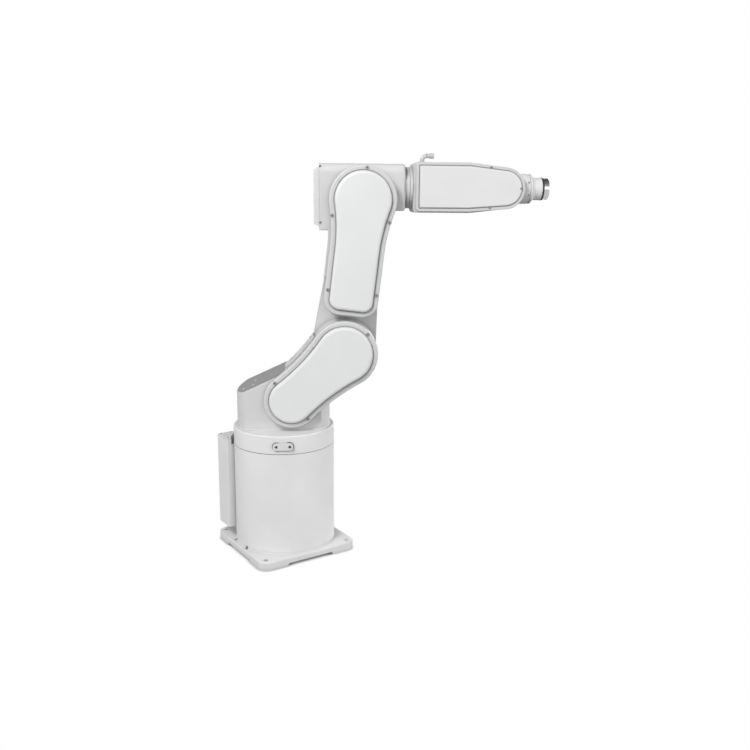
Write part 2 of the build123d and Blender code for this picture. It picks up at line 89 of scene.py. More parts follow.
def newTree(name, inputs, outputs, kind="ShaderNodeTree"):
    tree = bpy.data.node_groups.new(name, kind)
    for way, sockets in (("INPUT", inputs), ("OUTPUT", outputs)):
        for label, socketType in sockets.items():
            tree.interface.new_socket(name=label, in_out=way, socket_type=socketType)
    return tree, tree.nodes.new("NodeGroupInput"), tree.nodes.new("NodeGroupOutput")


# The settings come first, because they decide which inputs a node has.
def addNode(tree, kind, inputs=None, **settings):
    node = tree.nodes.new(kind)
    for key, value in settings.items():
        setattr(node, key, value)
    for key, value in (inputs or {}).items():
        node.inputs[key].default_value = value
    return node


def join(tree, source, target):
    tree.links.new(source, target)


def objectPlace(tree):
    return addNode(tree, "ShaderNodeTexCoord").outputs["Object"]


def objectNoise(tree, scale, detail=2.0):
    noise = addNode(tree, "ShaderNodeTexNoise", {"Scale": scale, "Detail": detail})
    join(tree, objectPlace(tree), noise.inputs["Vector"])
    return noise.outputs["Fac"]


# Object or shifted coordinates turned so that X and Y are the arm's own.
def armAligned(tree, place):
    turn = addNode(tree, "ShaderNodeVectorRotate", {"Angle": -armHeading}, rotation_type="Z_AXIS")
    join(tree, place, turn.inputs["Vector"])
    return turn.outputs["Vector"]


def remapped(tree, source, low, high, start=0.0, end=1.0):
    spread = addNode(tree, "ShaderNodeMapRange",
                     {"From Min": start, "From Max": end, "To Min": low, "To Max": high})
    join(tree, source, spread.inputs["Value"])
    return spread.outputs["Result"]


def multiplied(tree, colour, factor):
    shade = addNode(tree, "ShaderNodeMix", {"Factor": 1.0}, data_type="RGBA", blend_type="MULTIPLY")
    join(tree, colour, shade.inputs["A"])
    join(tree, factor, shade.inputs["B"])
    return shade.outputs["Result"]


def added(tree, first, second):
    total = addNode(tree, "ShaderNodeMath", operation="ADD")
    join(tree, first, total.inputs[0])
    join(tree, second, total.inputs[1])
    return total.outputs["Value"]


# A bump over rounded edges, whose strength and edge radius the caller sets or links.
def bumpOverEdges(tree, height, leave, distance):
    edge = addNode(tree, "ShaderNodeBevel", samples=4)
    bump = addNode(tree, "ShaderNodeBump", {"Distance": distance})
    join(tree, height, bump.inputs["Height"])
    join(tree, edge.outputs["Normal"], bump.inputs["Normal"])
    join(tree, bump.outputs["Normal"], leave.inputs["Normal"])
    return edge.inputs["Radius"], bump.inputs["Strength"]


# Powder coat: a soft orange-peel surface, faintly cloudy in tone and sheen, and darker in corners and close
# under other parts with painted shade.
def buildPaintGrainAndShade():
    tree, entry, leave = newTree(
        "paintGrainAndShade",
        {"Base": colourSocket, "Sheen": floatSocket, "Peel": floatSocket, "Edge": floatSocket},
        {"Color": colourSocket, "Roughness": floatSocket, "Normal": vectorSocket})
    cloud = objectNoise(tree, scale=14.0, detail=4.0)
    tone = remapped(tree, cloud, low=0.975, high=1.015, start=0.3, end=0.7)
    shaded = multiplied(tree, entry.outputs["Base"], tone)
    # Painted shade: the colour darkens in tight corners and, more softly, near other parts.
    for reach, darkest in ((0.008, 0.6), (0.05, 0.86)):
        crevice = addNode(tree, "ShaderNodeAmbientOcclusion", {"Distance": reach}, samples=4)
        shaded = multiplied(tree, shaded, remapped(tree, crevice.outputs["AO"], low=darkest, high=1.0))
    join(tree, shaded, leave.inputs["Color"])
    uneven = remapped(tree, objectNoise(tree, scale=60.0, detail=3.0), low=-0.06, high=0.06)
    join(tree, added(tree, entry.outputs["Sheen"], uneven), leave.inputs["Roughness"])
    radius, strength = bumpOverEdges(tree, objectNoise(tree, scale=900.0), leave, distance=0.00006)
    join(tree, entry.outputs["Edge"], radius)
    join(tree, entry.outputs["Peel"], strength)
    return tree


# Turned metal: fine grooves square to the arm's X, which on the flange run round the tool's axis.
def buildTurnedRings():
    tree, entry, leave = newTree(
        "turnedRings",
        {"Axis Point": vectorSocket, "Pitch": floatSocket, "Sheen": floatSocket},
        {"Roughness": floatSocket, "Normal": vectorSocket})
    shift = addNode(tree, "ShaderNodeVectorMath", operation="SUBTRACT")
    join(tree, objectPlace(tree), shift.inputs[0])
    join(tree, entry.outputs["Axis Point"], shift.inputs[1])
    wave = addNode(tree, "ShaderNodeTexWave", {"Distortion": 0.6, "Detail": 2.0},
                   wave_type="BANDS", bands_direction="X")
    join(tree, armAligned(tree, shift.outputs["Vector"]), wave.inputs["Vector"])
    join(tree, entry.outputs["Pitch"], wave.inputs["Scale"])
    radius, strength = bumpOverEdges(tree, wave.outputs["Fac"], leave, distance=0.00002)
    radius.default_value = 0.0005
    strength.default_value = 0.12
    uneven = remapped(tree, objectNoise(tree, scale=180.0), low=-0.08, high=0.08)
    join(tree, added(tree, entry.outputs["Sheen"], uneven), leave.inputs["Roughness"])
    return tree


# The raised middle of a cover is paler than its rim, by distance from the arm's middle plane.
def buildCrownTone():
    tree, entry, leave = newTree(
        "crownTone",
        {"Rim": colourSocket, "Crown": colourSocket, "Start": floatSocket, "End": floatSocket},
        {"Color": colourSocket})
    split = addNode(tree, "ShaderNodeSeparateXYZ")
    join(tree, armAligned(tree, objectPlace(tree)), split.inputs["Vector"])
    reach = addNode(tree, "ShaderNodeMath", operation="ABSOLUTE")
    join(tree, split.outputs["Y"], reach.inputs[0])
    step = addNode(tree, "ShaderNodeMapRange")
    join(tree, reach.outputs["Value"], step.inputs["Value"])
    join(tree, entry.outputs["Start"], step.inputs["From Min"])
    join(tree, entry.outputs["End"], step.inputs["From Max"])
    blend = addNode(tree, "ShaderNodeMix", data_type="RGBA")
    join(tree, step.outputs["Result"], blend.inputs["Factor"])
    join(tree, entry.outputs["Rim"], blend.inputs["A"])
    join(tree, entry.outputs["Crown"], blend.inputs["B"])
    join(tree, blend.outputs["Result"], leave.inputs["Color"])
    return tree


paintGrainAndShade = buildPaintGrainAndShade()
crownTone = buildCrownTone()
turnedRings = buildTurnedRings()


def blankMaterial(name):
    material = bpy.data.materials.new(name)
    material.use_nodes = True
    tree = material.node_tree
    tree.nodes.clear()
    return material, tree, addNode(tree, "ShaderNodeOutputMaterial").inputs["Surface"]


def newMaterial(name, inputs):
    material, tree, surface = blankMaterial(name)
    shell = addNode(tree, "ShaderNodeBsdfPrincipled", inputs)
    join(tree, shell.outputs["BSDF"], surface)
    return material, tree, shell


# A crown, where it is given, is the tone of a cover's raised middle and where that starts and ends.
def paintedMaterial(name, base, sheen, peel, edge, gloss=0.3, crown=None):
    material, tree, shell = newMaterial(name, {"Specular IOR Level": gloss})
    grainAndShade = addNode(tree, "ShaderNodeGroup",
                    {"Base": (*base, 1.0), "Sheen": sheen, "Peel": peel, "Edge": edge}, node_tree=paintGrainAndShade)
    join(tree, grainAndShade.outputs["Color"], shell.inputs["Base Color"])
    join(tree, grainAndShade.outputs["Roughness"], shell.inputs["Roughness"])
    join(tree, grainAndShade.outputs["Normal"], shell.inputs["Normal"])
    if crown:
        tone = addNode(tree, "ShaderNodeGroup", {"Rim": (*base, 1.0), **crown}, node_tree=crownTone)
        join(tree, tone.outputs["Color"], grainAndShade.inputs["Base"])
    return material


def turnedMaterial(name, base, sheen, axisPoint, pitch):
    material, tree, shell = newMaterial(name, {"Base Color": (*base, 1.0), "Metallic": 1.0})
    rings = addNode(tree, "ShaderNodeGroup",
                    {"Axis Point": axisPoint, "Pitch": pitch, "Sheen": sheen}, node_tree=turnedRings)
    join(tree, rings.outputs["Roughness"], shell.inputs["Roughness"])
    join(tree, rings.outputs["Normal"], shell.inputs["Normal"])
    return material


# Painted shade: screw steel darkens where a piece's own recess attribute says that it is sunk, standing in
# for the shade in sockets and round heads.
def screwMaterial(name, level, sunkLevel):
    material, tree, shell = newMaterial(name, {"Metallic": 0.6})
    recessShade = addNode(tree, "ShaderNodeAttribute", attribute_name="recessShade")
    blend = addNode(tree, "ShaderNodeMix", {"A": grey(level), "B": grey(sunkLevel)}, data_type="RGBA")
    join(tree, recessShade.outputs["Fac"], blend.inputs["Factor"])
    join(tree, blend.outputs["Result"], shell.inputs["Base Color"])
    rough = remapped(tree, objectNoise(tree, scale=1500.0), low=0.3, high=0.55)
    join(tree, rough, shell.inputs["Roughness"])
    return material


def sealMaterial(name, base):
    material, tree, shell = newMaterial(name, {"Base Color": (*base, 1.0)})
    grit = objectNoise(tree, scale=700.0, detail=3.0)
    bump = addNode(tree, "ShaderNodeBump", {"Strength": 0.3, "Distance": 0.0001})
    join(tree, grit, bump.inputs["Height"])
    join(tree, bump.outputs["Normal"], shell.inputs["Normal"])
    join(tree, remapped(tree, grit, low=0.55, high=0.8), shell.inputs["Roughness"])
    return material


castingPaint = paintedMaterial("castingPaint", (0.82, 0.825, 0.82), sheen=0.55, peel=0.35, edge=0.0012)
armPaint = paintedMaterial("armPaint", (0.7, 0.705, 0.7), sheen=0.5, peel=0.35, edge=0.004)
# The roof's dark grey is partly its own tone and partly painted shade from the arm above it.
roofPaintAndShade = paintedMaterial("roofPaintAndShade", (0.36, 0.36, 0.36), sheen=0.6, peel=0.2, edge=0.0006, gloss=0.15)
platePaint = paintedMaterial("platePaint", (0.76, 0.765, 0.76), sheen=0.45, peel=0.12, edge=0.0008, gloss=0.4)
fittingPlastic = paintedMaterial("fittingPlastic", (0.62, 0.62, 0.61), sheen=0.5, peel=0.2, edge=0.0004)

coverLook = {"base": (0.68, 0.68, 0.68), "sheen": 0.42, "peel": 0.12, "edge": 0.0008, "gloss": 0.4}
beltCrown = {"Crown": (0.81, 0.82, 0.815, 1.0), "Start": 0.0692, "End": 0.0698}
forearmCrown = {"Crown": (0.81, 0.81, 0.81, 1.0), "Start": 0.0391, "End": 0.0396}
beltCoverPaint = paintedMaterial("beltCoverPaint", **coverLook, crown=beltCrown)
forearmCoverPaint = paintedMaterial("forearmCoverPaint", **coverLook, crown=forearmCrown)

toolAxisPoint = armPoint(wristAxis.x, 0, rollAxis.z)
bearingSteel = turnedMaterial("bearingSteel", (0.55, 0.56, 0.57), sheen=0.35, axisPoint=(0, 0, 0),
                              pitch=900.0)
flangeMetal = turnedMaterial("flangeMetal", (0.92, 0.93, 0.94), sheen=0.16, axisPoint=toolAxisPoint,
                             pitch=1500.0)
# Black rubber for seals; on the column's ring and round the stop plate it is partly painted shade.
darkSealAndShade = sealMaterial("darkSealAndShade", (0.03, 0.03, 0.03))
screwSteel = screwMaterial("screwSteel", level=0.5, sunkLevel=0.08)
blackSteel = screwMaterial("blackSteel", level=0.1, sunkLevel=0.02)
zincSteel = screwMaterial("zincSteel", level=0.9, sunkLevel=0.3)

slotMaterials = {
    "casting_paint": castingPaint,
    "arm_paint": armPaint,
    "roof_paint": roofPaintAndShade,
    "cover_paint": platePaint,
    "dark_seal": darkSealAndShade,
    "bearing_steel": bearingSteel,
    "flange_metal": flangeMetal,
    "fitting_plastic": fittingPlastic,
}
crownedCovers = {
    "shoulder_belt_cover": beltCoverPaint,
    "arm_belt_cover": beltCoverPaint,
    "forearm_near_cover": forearmCoverPaint,
    "forearm_far_cover": forearmCoverPaint,
}
for subpart in frame["record"]["subparts"]:
    name = subpart["node"]
    data = nodes[name].data
    data.materials.clear()
    data.materials.append(crownedCovers.get(name, slotMaterials[subpart["material_slot"]]))
print("stage: materials")


def smoothFaces(data, angle):
    data.shade_smooth()
    data.set_sharp_from_angle(angle=math.radians(angle))


def meshPiece(name, build, body, material, smoothAngle=40.0):
    data = bpy.data.meshes.new(name)
    build.to_mesh(data)
    build.free()
    piece = addObject(name, data)
    data.materials.append(material)
    smoothFaces(data, smoothAngle)
    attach(piece, body)


# Joins rows of vertices that stand round a loop; a closed row is a loop of its own.
def skinRows(build, rows, closed=True):
    for row, following in zip(rows, rows[1:] + rows[:1]):
        for step in range(len(row) if closed else len(row) - 1):
            after = (step + 1) % len(row)
            build.faces.new((row[step], following[step], following[after], row[after]))
    bmesh.ops.recalc_face_normals(build, faces=build.faces[:])


# The profile is pairs of a radius and a place along the axis, in millimetres.
def darkRing(name, body, profile, centre, axis, segments):
    build = bmesh.new()
    side = axis.orthogonal().normalized()
    rows = []
    for step in range(segments):
        spin = Matrix.Rotation(2 * math.pi * step / segments, 3, axis)
        rows.append([build.verts.new(centre + (axis * along + spin @ side * radius) * millimetre)
                     for radius, along in profile])
    skinRows(build, rows)
    meshPiece(name, build, body, darkSealAndShade)


# Thin seals that show as dark lines in the joints; the column's dark ring is partly painted shade in its
# seam.
columnSeal = {"height": 213.5, "radius": 95.9, "width": 1.3}
rollSeal = {"back": 0.2, "radius": 37.6, "width": 0.5}
sealDepth = 2.0
sealSegments = 96
seals = {
    "columnSeal": ("base", columnSeal, armPoint(0, 0, columnSeal["height"]), armDirection(0, 0, 1)),
    "rollSeal": ("elbow", rollSeal, armPoint(rollAxis.x - rollSeal["back"], 0, rollAxis.z),
                 armDirection(1, 0, 0)),
}
for name, (body, seal, centre, axis) in seals.items():
    outer = seal["radius"]
    inner = outer - sealDepth
    profile = ((inner, 0.0), (outer, 0.0), (outer, seal["width"]), (inner, seal["width"]))
    darkRing(name, body, profile, centre, axis, sealSegments)
print("stage: seals")

# A socket head cap screw with painted shade round its seat and in its socket, standing on Z at the origin.
# Each ring of the seat is its radius and height in head radii, and how much painted shade its steel takes
# there, as if sunk.
screwShape = {
    "sides": 24,
    "seat": ((1.25, 0.03, 0.1), (1.04, 0.04, 0.8), (1.0, 0.05, 0.5)),
    "bevel": 0.14,
    "socket": 0.48,
    "socketFloor": 0.35,
    "socketRimSunk": 0.1,
}
sixth = math.pi / 3


def buildScrewHead(name, radius, rise):
    bevel = screwShape["bevel"] * radius
    rings = [(size * radius, height * radius, sunk) for size, height, sunk in screwShape["seat"]]
    rings += [(radius, rise - bevel, 0.0), (radius - bevel, rise, 0.0)]
    rings += [(None, rise, screwShape["socketRimSunk"]), (None, screwShape["socketFloor"] * rise, 1.0)]
    build = bmesh.new()
    recessShade = build.verts.layers.float.new("recessShade")
    sides = screwShape["sides"]
    rows = []
    for size, height, sunk in rings:
        row = []
        for step in range(sides):
            angle = 2 * math.pi * step / sides
            reach = size
            if size is None:
                reach = screwShape["socket"] * radius / math.cos((angle + sixth / 2) % sixth - sixth / 2)
            vert = build.verts.new((reach * math.cos(angle), reach * math.sin(angle), height))
            vert[recessShade] = sunk
            row.append(vert)
        rows.append(row)
    for low, high in zip(rows, rows[1:]):
        for step in range(sides):
            build.faces.new((low[step], low[step - 1], high[step - 1], high[step]))
    build.faces.new(rows[-1])
    bmesh.ops.recalc_face_normals(build, faces=build.faces[:])
    data = bpy.data.meshes.new(name)
    build.to_mesh(data)
    build.free()
    return bpy.data.objects.new(name, data)


def buildScrewScatter():
    tree, entry, leave = newTree(
        "screwScatter",
        {"Geometry": "NodeSocketGeometry", "Head": "NodeSocketObject", "Finish": "NodeSocketMaterial"},
        {"Geometry": "NodeSocketGeometry"}, "GeometryNodeTree")
    points = addNode(tree, "GeometryNodeMeshToPoints")
    head = addNode(tree, "GeometryNodeObjectInfo")
    facing = addNode(tree, "GeometryNodeInputNamedAttribute", {"Name": "facing"}, data_type="FLOAT_VECTOR")
    align = addNode(tree, "FunctionNodeAlignRotationToVector", axis="Z")
    copies = addNode(tree, "GeometryNodeInstanceOnPoints")
    solid = addNode(tree, "GeometryNodeRealizeInstances")
    finish = addNode(tree, "GeometryNodeSetMaterial")
    join(tree, entry.outputs["Geometry"], points.inputs["Mesh"])
    join(tree, entry.outputs["Head"], head.inputs["Object"])
    join(tree, points.outputs["Points"], copies.inputs["Points"])
    join(tree, head.outputs["Geometry"], copies.inputs["Instance"])
    join(tree, facing.outputs["Attribute"], align.inputs["Vector"])
    join(tree, align.outputs["Rotation"], copies.inputs["Rotation"])
    join(tree, copies.outputs["Instances"], solid.inputs["Geometry"])
    join(tree, solid.outputs["Geometry"], finish.inputs["Geometry"])
    join(tree, entry.outputs["Finish"], finish.inputs["Material"])
    join(tree, finish.outputs["Geometry"], leave.inputs["Geometry"])
    return tree


screwScatter = buildScrewScatter()
screwSmoothAngle = 35.0
surfaces = {}


# Where a straight line meets a CAD node, and which way the surface faces there. The line starts its
# reach, in metres, before the place and ends as far beyond it.
def landing(nodeName, place, heading, reach=0.3):
    if nodeName not in surfaces:
        data = nodes[nodeName].data
        surfaces[nodeName] = BVHTree.FromPolygons([v.co[:] for v in data.vertices],
                                                  [p.vertices[:] for p in data.polygons])
    spot, normal = surfaces[nodeName].ray_cast(place - heading * reach, heading, 2 * reach)[:2]
    if spot is None:
        raise RuntimeError(f"{nodeName}: nothing to hold a screw at {place[:]}")
    return spot, normal if normal.dot(heading) < 0 else -normal


def allLandings(nodeName, spots, heading):
    return [landing(nodeName, spot, heading) for spot in spots]


def placeScrews(name, body, head, landings, material=screwSteel):
    data = bpy.data.meshes.new(name)
    data.from_pydata([spot[:] for spot, normal in landings], [], [])
    facing = data.attributes.new("facing", "FLOAT_VECTOR", "POINT")
    facing.data.foreach_set("vector", [value for spot, normal in landings for value in normal])
    piece = addObject(name, data)
    modifier = piece.modifiers.new("screws", "NODES")
    modifier.node_group = screwScatter
    given = {"Head": head, "Finish": material}
    for item in screwScatter.interface.items_tree:
        if item.in_out == "INPUT" and item.name in given:
            modifier[item.identifier] = given[item.name]
    bpy.context.view_layer.update()
    depsgraph = bpy.context.evaluated_depsgraph_get()
    solid = bpy.data.meshes.new_from_object(piece.evaluated_get(depsgraph))
    piece.modifiers.clear()
    piece.data = solid
    smoothFaces(solid, screwSmoothAngle)
    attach(piece, body)


coverHead = buildScrewHead("coverScrewHead", radius=2.8 * millimetre, rise=1.4 * millimetre)
smallHead = buildScrewHead("smallScrewHead", radius=2.0 * millimetre, rise=1.0 * millimetre)
tinyHead = buildScrewHead("tinyScrewHead", radius=1.5 * millimetre, rise=0.7 * millimetre)

# Places on the shoulder link, measured along and across the line from the motor to the shoulder axis.
shoulderLink = {
    "motorBack": 99.0,
    "motorDrop": 88.0,
    "tip": 57.0,
    "hubPair": (97.0, 47.5),
    "motorPair": (1.0, 46.0),
}
motorPlace = Vector((shoulderAxis.x - shoulderLink["motorBack"], 0,
                     shoulderAxis.z - shoulderLink["motorDrop"]))
linkRun = Vector((shoulderAxis.x, 0, shoulderAxis.z)) - motorPlace
linkLength = linkRun.length
linkRun.normalize()
linkCross = Vector((-linkRun.z, 0, linkRun.x))


def onShoulderLink(along, across):
    spot = motorPlace + linkRun * along + linkCross * across
    return armPoint(spot.x, 0, spot.z)


spots = [onShoulderLink(linkLength + shoulderLink["tip"], 0)]
for along, across in (shoulderLink["hubPair"], shoulderLink["motorPair"]):
    spots += [onShoulderLink(along, across), onShoulderLink(along, -across)]
placeScrews("shoulderCoverScrews", "shoulder", coverHead,
            allLandings("shoulder_belt_cover", spots, ontoNearSide))

# Screws on the strip at the link's back, along and across as above and sideways from the middle plane.
backStrip = {"along": (50.0, 104.0), "across": 50.0, "sideways": -34.0, "reach": 0.1}
stripHeading = armDirection(-linkCross.x, 0, -linkCross.z)
landings = []
for along in backStrip["along"]:
    spot = onShoulderLink(along, backStrip["across"]) + armPoint(0, backStrip["sideways"], 0)
    landings.append(landing("shoulder_back_cover", spot, stripHeading, backStrip["reach"]))
placeScrews("backStripScrews", "shoulder", smallHead, landings)

# Places on the arm cover, across and up from the elbow axis with the link upright.
armCover = {
    "crown": (0.0, 56.0),
    "shoulders": (51.8, -34.0),
    "foot": (44.5, -166.5),
}


def onUpperLink(across, up):
    x = elbowAxis.x + across * math.cos(linkLean) + up * math.sin(linkLean)
    z = elbowAxis.z - across * math.sin(linkLean) + up * math.cos(linkLean)
    return armPoint(x, 0, z)


spots = [onUpperLink(*armCover["crown"])]
for key in ("shoulders", "foot"):
    across, up = armCover[key]
    spots += [onUpperLink(across, up), onUpperLink(-across, up)]
placeScrews("armCoverScrews", "lower_arm", coverHead, allLandings("arm_belt_cover", spots, ontoNearSide))

# Places on the forearm covers, along the roll axis from the wrist, then above and below it.
forearmCover = {
    "nose": 29.5,
    "front": (-27.0, 36.9, -35.6),
    "back": (-155.2, 39.4, -36.6),
}
spots = [armPoint(wristAxis.x + forearmCover["nose"], 0, rollAxis.z)]
for key in ("front", "back"):
    along, above, below = forearmCover[key]
    spots += [armPoint(wristAxis.x + along, 0, rollAxis.z + up) for up in (above, below)]
placeScrews("forearmNearScrews", "forearm", smallHead,
            allLandings("forearm_near_cover", spots, ontoNearSide))
placeScrews("forearmFarScrews", "forearm", smallHead,
            allLandings("forearm_far_cover", spots, ontoFarSide))
print("stage: cover screws")

# Screws at the back of the elbow block, measured back and up from the elbow axis.
elbowScrews = {"back": 76.5, "top": 58.5, "bottom": -41.0}
landings = []
for up in (elbowScrews["top"], elbowScrews["bottom"]):
    spot = armPoint(elbowAxis.x - elbowScrews["back"], 0, elbowAxis.z + up)
    landings += [landing("elbow_housing", spot, heading) for heading in (ontoNearSide, ontoFarSide)]
placeScrews("elbowCoverScrews", "elbow", smallHead, landings)

# The stop plate's two screws, level with its middle and an equal way to each side.
stopPlate = {"bearing": math.radians(-89.0), "height": 229.7, "halfScrews": 12.5}
stopOut = armDirection(math.cos(stopPlate["bearing"]), math.sin(stopPlate["bearing"]), 0)
stopAcross = Vector((-stopOut.y, stopOut.x, 0))
spots = [(stopAcross * side * stopPlate["halfScrews"] + Vector((0, 0, stopPlate["height"]))) * millimetre
         for side in (-1, 1)]
placeScrews("stopPlateScrews", "shoulder", smallHead, allLandings("stop_plate", spots, -stopOut), blackSteel)

# A dark gasket that shows as a thin line round the stop plate and follows the turntable's bend; its darkness
# is partly painted shadow round the raised plate.
gasketAndShadow = {"halfRun": 12.0, "radius": 8.2, "width": 1.3, "bend": 97.0, "depth": 0.5, "steps": 32}
outer = gasketAndShadow["radius"]
inner = outer - gasketAndShadow["width"]
section = ((inner, -gasketAndShadow["depth"]), (inner, gasketAndShadow["depth"]),
           (outer, gasketAndShadow["depth"]), (outer, -gasketAndShadow["depth"]))
build = bmesh.new()
rows = []
for step in range(gasketAndShadow["steps"]):
    angle = 2 * math.pi * step / gasketAndShadow["steps"]
    side = gasketAndShadow["halfRun"] if math.cos(angle) > 0 else -gasketAndShadow["halfRun"]
    row = []
    for radius, depth in section:
        run = side + radius * math.cos(angle)
        out = math.sqrt(gasketAndShadow["bend"] ** 2 - run ** 2) + depth
        rise = Vector((0, 0, stopPlate["height"] + radius * math.sin(angle)))
        row.append(build.verts.new((stopAcross * run + stopOut * out + rise) * millimetre))
    rows.append(row)
skinRows(build, rows)
meshPiece("stopPlateGasket", build, "shoulder", darkSealAndShade)

# Places on the lid, square to the foot, and on the roof, in the arm's frame; lines run down through them.
lidScrews = {"places": ((-98.0, 46.0), (-98.0, 80.0), (-77.0, 80.0)), "height": 240.0}
spots = [Vector((x, y, lidScrews["height"])) * millimetre for x, y in lidScrews["places"]]
placeScrews("lidScrews", "base", tinyHead, allLandings("box_lid", spots, down))

roofScrews = {"places": ((-54.0, -43.0), (-72.0, -38.0), (-53.0, -2.0)), "height": 350.0}
spots = [armPoint(x, y, roofScrews["height"]) for x, y in roofScrews["places"]]
placeScrews("roofScrews", "shoulder", coverHead, allLandings("shoulder_top_cover", spots, down), zincSteel)


def plateCorners(plate):
    return [(across, up) for across in (-plate["halfWidth"], plate["halfWidth"])
            for up in (-plate["halfHeight"], plate["halfHeight"])]


# The screws in the corners of the two flat plates on the far side.
farCover = {"x": -12.0, "z": 285.0, "halfWidth": 41.0, "halfHeight": 21.0}
spots = [armPoint(farCover["x"] + across, 0, farCover["z"] + up) for across, up in plateCorners(farCover)]
placeScrews("farCoverScrews", "shoulder", smallHead, allLandings("shoulder_far_cover", spots, ontoFarSide))

armPlate = {"up": -186.5, "halfWidth": 33.0, "halfHeight": 17.0}
spots = [onUpperLink(across, armPlate["up"] + up) for across, up in plateCorners(armPlate)]
placeScrews("armPlateScrews", "lower_arm", smallHead, allLandings("arm_far_cover", spots, ontoFarSide))

# A circle of screws in each round cap, its first screw half a step from the arm's X.
capScrews = 8
caps = {
    "elbowCapScrews": {"node": "elbow_far_cap", "body": "elbow", "axis": elbowAxis, "radius": 37.0},
    "armCapScrews": {"node": "arm_hub_cap", "body": "lower_arm", "axis": shoulderAxis, "radius": 40.0},
}
for name, cap in caps.items():
    spots = []
    for step in range(capScrews):
        angle = 2 * math.pi * (step + 0.5) / capScrews
        spots.append(armPoint(cap["axis"].x + cap["radius"] * math.cos(angle), 0,
                              cap["axis"].z + cap["radius"] * math.sin(angle)))
    placeScrews(name, cap["body"], smallHead, allLandings(cap["node"], spots, ontoFarSide))

# Four screws round the wrist's collar, above and below its two sides.
wristScrews = {"along": 47.5, "tilt": 25.0, "reach": 0.05}
centre = armPoint(wristAxis.x + wristScrews["along"], 0, rollAxis.z)
landings = []
for turn in (wristScrews["tilt"], -wristScrews["tilt"], 180 - wristScrews["tilt"], 180 + wristScrews["tilt"]):
    angle = math.radians(turn)
    inward = armDirection(0, math.cos(angle), -math.sin(angle))
    landings.append(landing("wrist_collar", centre, inward, wristScrews["reach"]))
placeScrews("wristScrews", "wrist", tinyHead, landings)
print("stage: plate screws")

# A small cast fillet where the tower, with its round ends and flat flanks, stands on the turntable.
towerFoot = {"radius": 89.0, "halfDepth": 52.0, "height": 249.0, "fillet": 3.0,
             "arcSteps": 20, "filletSteps": 4, "smoothAngle": 60.0}
halfAngle = math.asin(towerFoot["halfDepth"] / towerFoot["radius"])
outline = []
for middle in (0.0, math.pi):
    for step in range(towerFoot["arcSteps"] + 1):
        angle = middle - halfAngle + 2 * halfAngle * step / towerFoot["arcSteps"]
        outline.append(Vector((math.cos(angle), math.sin(angle))) * towerFoot["radius"])
build = bmesh.new()
rows = []
for index, spot in enumerate(outline):
    run = outline[(index + 1) % len(outline)] - outline[index - 1]
    out = Vector((run.y, -run.x)).normalized()
    row = []
    for step in range(towerFoot["filletSteps"] + 1):
        turn = math.pi / 2 * step / towerFoot["filletSteps"]
        foot = spot + out * towerFoot["fillet"] * (1 - math.cos(turn))
        lift = towerFoot["fillet"] * (1 - math.sin(turn))
        row.append(build.verts.new(armPoint(foot.x, foot.y, towerFoot["height"] + lift)))
    rows.append(row)
skinRows(build, rows, closed=False)
meshPiece("towerFootFillet", build, "shoulder", armPaint, towerFoot["smoothAngle"])

# The dark push-in ring round the mouth of the air fitting's outlet.
fitting = {"along": 39.0, "up": 57.7, "mouth": 2.6, "back": 3.9, "front": 4.1, "width": 1.2, "segments": 32}
profile = ((fitting["mouth"], 0.0), (fitting["back"], 0.0),
           (fitting["front"], fitting["width"]), (fitting["mouth"], fitting["width"]))
outlet = armPoint(rollAxis.x + fitting["along"], 0, rollAxis.z + fitting["up"])
darkRing("fittingRing", "forearm", profile, outlet, armDirection(1, 0, 0), fitting["segments"])
print("stage: small castings")

# Camera, at the photograph's angle
camera = {
    "place": (-0.7248, -1.3884, 0.6783),
    "heading": math.radians(34.05),
    "pitch": 0.2105,
    "roll": 0.0092,
    "focalPixels": 825.42,
    "imageWidth": 750,
    "sensorWidth": 36.0,
}
forwardLevel = Vector((math.sin(camera["heading"]), math.cos(camera["heading"]), 0))
right = Vector((forwardLevel.y, -forwardLevel.x, 0))
forward = forwardLevel * math.cos(camera["pitch"]) - Vector((0, 0, 1)) * math.sin(camera["pitch"])
upward = right.cross(forward)
rolledRight = right * math.cos(camera["roll"]) + upward * math.sin(camera["roll"])
rolledUp = upward * math.cos(camera["roll"]) - right * math.sin(camera["roll"])
cameraData = bpy.data.cameras.new("photoCamera")
cameraData.sensor_width = camera["sensorWidth"]
cameraData.lens = camera["focalPixels"] / camera["imageWidth"] * camera["sensorWidth"]
cameraData.dof.use_dof = False
cameraObject = addObject("photoCamera", cameraData)
axes = Matrix((rolledRight, rolledUp, -forward)).transposed().to_4x4()
cameraObject.matrix_world = Matrix.Translation(camera["place"]) @ axes
scene.camera = cameraObject


# One shader for rays of the named kind and another for all the rest.
def splitByRay(tree, kind, matched, others):
    rays = addNode(tree, "ShaderNodeLightPath")
    mixer = addNode(tree, "ShaderNodeMixShader")
    join(tree, rays.outputs[kind], mixer.inputs["Fac"])
    join(tree, others, mixer.inputs[1])
    join(tree, matched, mixer.inputs[2])
    return mixer.outputs["Shader"]


